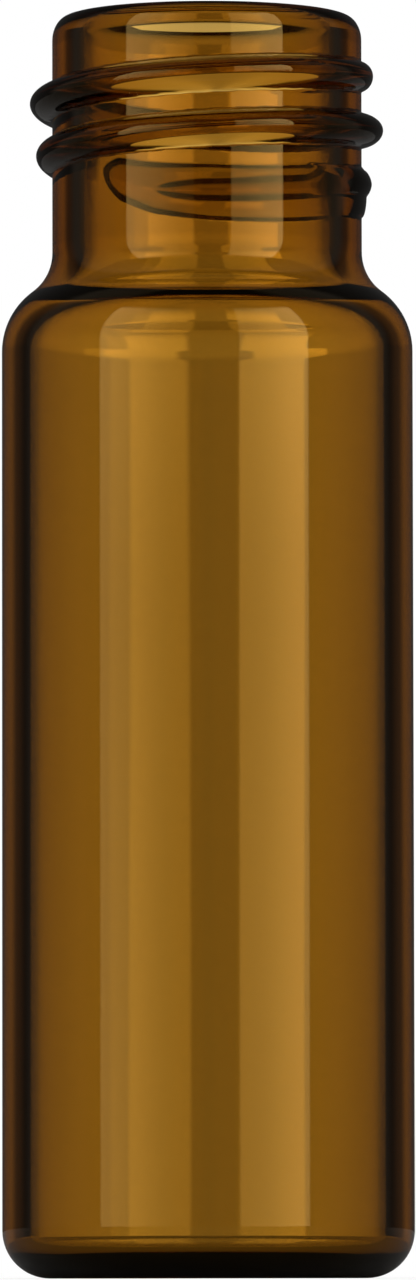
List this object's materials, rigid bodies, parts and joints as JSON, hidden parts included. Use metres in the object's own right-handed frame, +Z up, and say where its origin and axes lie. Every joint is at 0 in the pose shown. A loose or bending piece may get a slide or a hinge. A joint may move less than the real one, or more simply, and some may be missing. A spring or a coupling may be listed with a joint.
{
  "type": "screw-neck glass sample vial",
  "caption": "Small amber glass sample vial with a straight round body, a short shoulder, a threaded screw neck and an open mouth.",
  "frame": {"origin": "on the vial's axis, in the plane of the ring that it stands on", "axes": "+Z up along the axis, out of the open mouth; +X and +Y square to it, the thread starts 60 degrees from +X towards +Y"},
  "size_m": [0.0146, 0.0146, 0.045],
  "materials": {
    "amber_glass": "clear fire-polished amber glass, smooth and glossy inside and out"
  },
  "bodies": {
    "root": {"vial": "amber_glass"}
  },
  "joints": []
}
